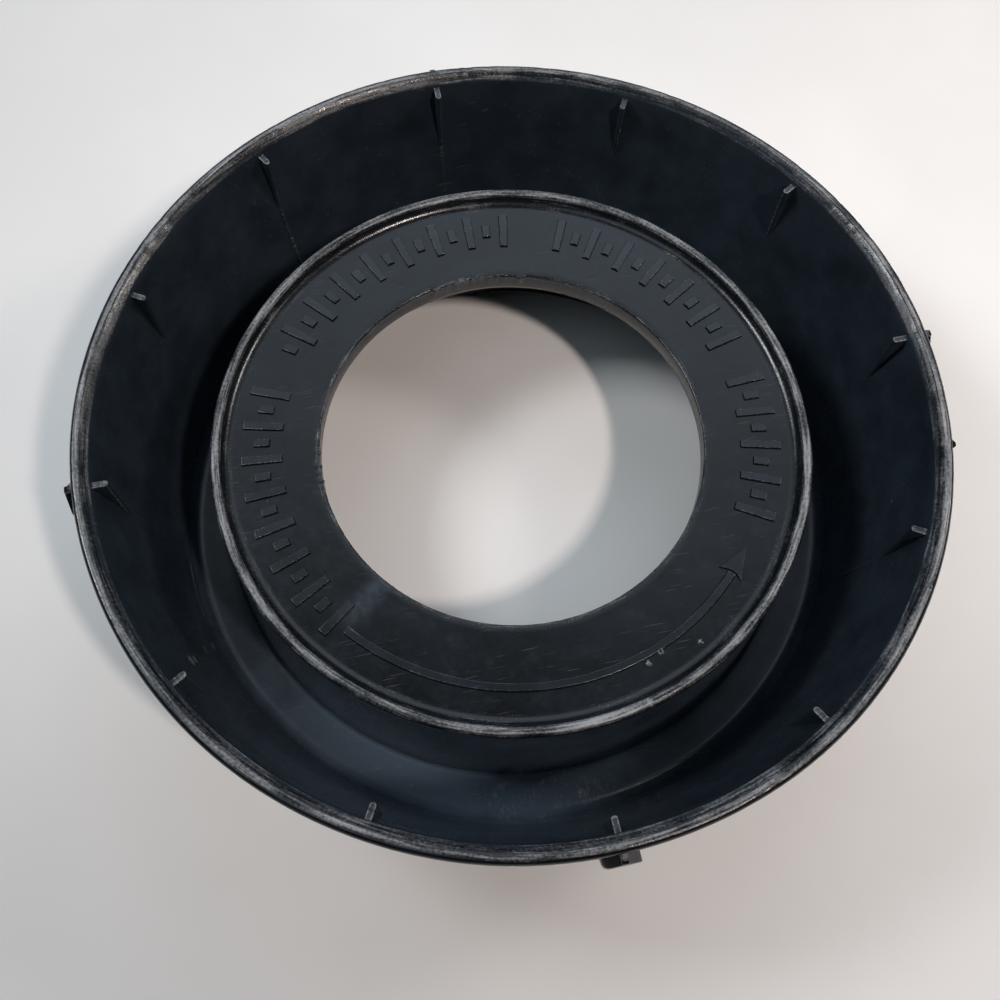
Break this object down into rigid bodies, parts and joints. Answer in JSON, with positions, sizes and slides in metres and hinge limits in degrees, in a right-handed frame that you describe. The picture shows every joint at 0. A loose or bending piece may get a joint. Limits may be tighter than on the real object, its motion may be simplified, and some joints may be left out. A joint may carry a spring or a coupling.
{
  "type": "blender jar collar",
  "caption": "Round black plastic collar with a flared ribbed skirt, a threaded socket for the jar neck and a large centre hole for the blade unit.",
  "frame": {"origin": "on the collar's axis, in the plane of its jar side, which lies on the table", "axes": "+Z along the collar's axis, from the jar side to the wide rim; +X through one rib and lug"},
  "size_m": [0.1294, 0.1294, 0.038],
  "materials": {
    "black_plastic": "semi-gloss moulded, scuffed grey along the rim and the bead"
  },
  "bodies": {
    "root": {"collar": "black_plastic"}
  },
  "joints": []
}
